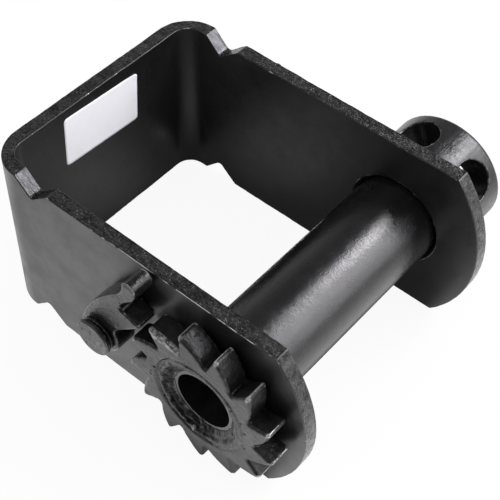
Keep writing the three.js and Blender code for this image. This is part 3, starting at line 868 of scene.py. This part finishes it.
def make_turned(name, node, body, material, slot, rounding=TURNED_ROUNDING):
    bm = solid_faces(node)
    rounded(bm, rounding)
    obj = new_object(name, finished(bm, name), body, [material], slot, node)
    weigh_normals(obj)


def make_casting(name, node, body, material, slot, grain, melting, uneven, seed):
    obj = new_object(name, finished(solid_faces(node), name), body, [material], slot, node)
    skin(obj, grain, melting)
    mark_crests(obj.data)
    roughen(obj.data, uneven, seed)


# Weld

def on_ring(turn, radius, layer):
    """Where to read noise that closes on itself round the axis. Each layer is a pattern of its own."""
    return Vector((radius * math.cos(turn), radius * math.sin(turn), layer))


def weld_depth(turn, radius, inner, ridge, groove):
    """How far the weld's section lies behind the gear's front here. Negative is proud of it."""
    deep = TUBE_LOW.y - GEAR_FRONT
    if radius < ridge:
        rise = (radius - inner) / (ridge - inner)
        depth = deep + (WELD_RIDGE_SUNK - deep) * math.sin(0.5 * math.pi * rise) ** WELD_RIDGE_SHAPE
        seam = math.exp(-((radius - WELD_PASS_RADIUS) / WELD_PASS_WIDTH) ** 2)
        between_passes = noise.noise(on_ring(turn, 3, 6.0))
        return depth + WELD_PASS_DEPTH * seam * max(0.0, 0.5 + between_passes)
    fall = min(1.0, (radius - ridge) / (WELD_OUTER_RADIUS - ridge))
    flush = 1.0 - min(1.0, groove / (WELD_FLUSH_UNTIL * WELD_GROOVE_DEPTH))
    proud = WELD_PROUD * flush * math.sin(math.pi * fall ** WELD_PROUD_SHAPE)
    sunk = WELD_RIDGE_SUNK * (1 - fall) + groove * math.sin(math.pi * fall) ** 2
    return sunk - proud + WELD_TOE_SUNK * flush * fall ** WELD_TOE_SHAPE


def weld_lump(turn, radius, lumpy):
    """How far lumps and the bright bead rise here"""
    spot = on_ring(turn, radius, 0.0) / MM
    fine = WELD_FINE_SHARE * noise.noise(spot / WELD_FINE_LENGTH)
    lump = lumpy * WELD_LUMP * (noise.noise(spot / WELD_LUMP_LENGTH) + fine)
    bead = on_ring(WELD_BEAD_TURN, 1.0, 0.0) * WELD_BEAD_RADIUS / MM
    return lump + WELD_BEAD_RISE * math.exp(-((spot - bead).length / WELD_BEAD_REACH) ** 2)


def weld_outline(turn):
    """The weld's section in this direction: a point on the tube's end, then its crown from bore to toe"""
    wander = on_ring(turn, 4, 2.0)
    stray = noise.noise(wander) + 0.5 * noise.noise(wander * 3)
    groove = WELD_GROOVE_DEPTH * max(0.0, math.cos(turn - WELD_GROOVE_TURN)) ** WELD_GROOVE_SHAPE
    lumpy = WELD_CALM + (1 - WELD_CALM) * min(1.0, groove / (WELD_LUMPY_FROM * WELD_GROOVE_DEPTH))
    inner = WELD_INNER_RADIUS + WELD_WANDER * stray
    outer = WELD_OUTER_RADIUS + WELD_SPREAD * (0.5 - groove / WELD_GROOVE_DEPTH)
    ridge = WELD_RIDGE_RADIUS + 0.5 * WELD_WANDER * noise.noise(wander + Vector((9, 0, 0)))
    places = [around(turn, (TUBE_HIGH.x - TUBE_LOW.x) / 2, TUBE_LOW.y - WELD_GAP)]
    for crown in range(WELD_CROWN_STEPS + 1):
        share = crown / WELD_CROWN_STEPS
        radius = inner + (outer - inner) * share
        depth = weld_depth(turn, radius, inner, ridge, groove)
        depth -= weld_lump(turn, radius, lumpy) * math.sin(math.pi * share) ** 0.5
        places.append(around(turn, radius, GEAR_FRONT + depth - WELD_GAP))
    return places


def make_gear_weld(material):
    """A lumpy weld in two passes up the gear's bevelled bore, with a groove left on one side"""
    bm = bmesh.new()
    rings = []
    for step in range(WELD_STEPS):
        rings.append([bm.verts.new(place) for place in weld_outline(2 * math.pi * step / WELD_STEPS)])
    for here, after in zip(rings, rings[1:] + rings[:1]):
        for i in range(len(here)):
            j = (i + 1) % len(here)
            bm.faces.new((here[i], here[j], after[j], after[i]))
    mesh = finished(bm, "gear_weld_bead")
    new_object("gear_weld_bead", mesh, "drum", [material], "weld_paint", "gear_weld")


# Label

def web_face():
    """The web's inner face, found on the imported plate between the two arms"""
    points = [vertex.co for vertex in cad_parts["frame"].data.vertices]
    return min(point.x for point in points if abs(point.y) < WEB_SHARE * FRAME_HIGH.y and point.x > WEB_BACK)


def round_corner(y, z):
    """Draws the grid's corner points in to the corner's arc"""
    inner_y = LABEL_WIDTH / 2 - LABEL_CORNER
    inner_z = LABEL_HEIGHT / 2 - LABEL_CORNER
    over_y = max(0.0, abs(y) - inner_y)
    over_z = max(0.0, abs(z) - inner_z)
    if over_y == 0 or over_z == 0:
        return y, z
    shrink = max(over_y, over_z) / math.hypot(over_y, over_z)
    return math.copysign(inner_y + over_y * shrink, y), math.copysign(inner_z + over_z * shrink, z)


def make_label(material):
    """A blank paper label with round corners, a little askew, and with one corner starting to lift"""
    across, down = LABEL_STEPS
    tilt = Matrix.Rotation(LABEL_TILT, 3, "X")
    middle = Vector((web_face() + LABEL_LIFT, LABEL_Y, LABEL_Z))
    bm = bmesh.new()
    grid = {}
    for i in range(across + 1):
        for j in range(down + 1):
            curl = max(0.0, i / across + j / down - LABEL_CURL_FROM) / (2 - LABEL_CURL_FROM)
            y, z = round_corner((i / across - 0.5) * LABEL_WIDTH, (j / down - 0.5) * LABEL_HEIGHT)
            grid[i, j] = bm.verts.new(middle + tilt @ Vector((LABEL_CURL * curl ** 2, y, z)))
    for i in range(across):
        for j in range(down):
            bm.faces.new((grid[i, j], grid[i + 1, j], grid[i + 1, j + 1], grid[i, j + 1]))
    obj = new_object("label", finished(bm, "label"), "frame", [material], None)
    thick = obj.modifiers.new("paper", "SOLIDIFY")
    thick.thickness = LABEL_THICKNESS
    thick.offset = 1.0


# Scene

def make_camera():
    azimuth, elevation, roll = (math.radians(v) for v in (CAMERA_AZIMUTH, CAMERA_ELEVATION, CAMERA_ROLL))
    back = Vector((math.sin(azimuth) * math.cos(elevation), -math.cos(azimuth) * math.cos(elevation),
                   math.sin(elevation)))
    level = Vector((math.cos(azimuth), math.sin(azimuth), 0))
    upright = back.cross(level)
    right = level * math.cos(roll) + upright * math.sin(roll)
    up = back.cross(right)
    camera = bpy.data.objects.new("camera", bpy.data.cameras.new("camera"))
    camera.data.lens = CAMERA_LENS
    camera.data.sensor_width = CAMERA_SENSOR
    camera.data.clip_start, camera.data.clip_end = CAMERA_CLIP
    turn = Matrix((right, up, back)).transposed().to_4x4()
    camera.matrix_world = Matrix.Translation(CAMERA_EYE) @ turn
    SCENE.collection.objects.link(camera)
    SCENE.camera = camera


def make_lamps():
    """Softboxes whose long sides lie along the drum, so that their images on it have straight edges"""
    middle = Vector((AXIS.x, 0, 0))
    for name, (angle, lean, width, length, radiance) in LAMPS.items():
        data = bpy.data.lights.new(name, "AREA")
        data.shape = "RECTANGLE"
        data.size = width
        data.size_y = length
        data.energy = radiance * math.pi * width * length
        data.color = LAMP_COLOUR
        lamp = bpy.data.objects.new(name, data)
        turn = math.radians(angle)
        across = math.sqrt(1 - lean ** 2)
        away = Vector((across * math.cos(turn), lean, across * math.sin(turn)))
        along = (Vector((0, 1, 0)) - away * lean).normalized()
        facing = Matrix((along.cross(away), along, away)).transposed().to_4x4()
        lamp.matrix_world = Matrix.Translation(middle + away * LAMP_DISTANCE) @ facing
        SCENE.collection.objects.link(lamp)


def make_world():
    """A white backdrop up to a dim ceiling for rays that see it, and an even ambient level for the rest"""
    SCENE.world = bpy.data.worlds.new("studio")
    tree = Tree(SCENE.world)
    path = tree.add("ShaderNodeLightPath").outputs
    seen = tree.math("MAXIMUM", path["Is Camera Ray"], path["Is Glossy Ray"], path["Is Transmission Ray"])
    _, y, z = tree.split(tree.add("ShaderNodeTexCoord").outputs["Generated"])
    sides = tree.ramp(y, *BACKDROP_Y, BACKDROP_BEHIND_CAMERA, BACKDROP_LEVEL, kind="LINEAR")
    below_ceiling = tree.ramp(z, *CEILING_Z, 1.0, 0.0, kind="LINEAR")
    backdrop = tree.blend(below_ceiling, CEILING_LEVEL, sides)
    glow = tree.add("ShaderNodeBackground")
    tree.join(tree.blend(seen, AMBIENT_LEVEL, backdrop), glow.inputs["Strength"])
    out = tree.add("ShaderNodeOutputWorld")
    tree.join(glow.outputs["Background"], out.inputs["Surface"])


def make_floor():
    bm = bmesh.new()
    bmesh.ops.create_grid(bm, x_segments=1, y_segments=1, size=FLOOR_HALF_WIDTH)
    floor = bpy.data.objects.new("floor", finished(bm, "floor"))
    floor.location.z = CAD_BOX[0].z - FLOOR_DROP
    SCENE.collection.objects.link(floor)
    floor.data.materials.append(floor_paint())


make_camera()
make_lamps()
make_world()
make_floor()
SCENE.view_settings.view_transform = "Standard"

PLATE = plate_paint()
CUT = cut_paint()
TUBE = tube_paint()
CAST = cast_paint("cast_paint", crests=(0.030, 0.065), roughness=(0.26, 0.40))
PAWL = cast_paint("pawl_paint", crests=(0.038, 0.088), roughness=(0.20, 0.31))
CAP = cap_paint()
WELD = weld_paint()
RIVET = rivet_paint()

make_frame_plate(PLATE, CUT, torch_paint())
make_turned("drum", "drum_tube", "drum", TUBE, "black_paint")
make_casting("gear", "ratchet_gear", "drum", CAST, "cast_paint",
             grain=CAST_GRAIN, melting=16, uneven=CAST_UNEVEN, seed=11)
make_gear_weld(WELD)
make_casting("cap", "bar_cap", "drum", CAP, "black_paint",
             grain=CAP_GRAIN, melting=3, uneven=0.5 * CAST_UNEVEN, seed=23)
make_turned("hidden_weld", "cap_weld", "drum", WELD, "weld_paint", rounding=0.2 * MM)
make_casting("latch_pawl", "pawl", "pawl", PAWL, "cast_paint",
             grain=CAST_GRAIN, melting=7, uneven=CAST_UNEVEN, seed=37)
make_turned("rivet", "pawl_rivet", "frame", RIVET, "black_paint", rounding=0.35 * MM)
make_turned("washer", "pawl_head_washer", "frame", PLATE, "black_paint", rounding=0.25 * MM)
make_turned("spacer", "pawl_spacer", "frame", PLATE, "black_paint", rounding=0.3 * MM)
make_label(label_paper())
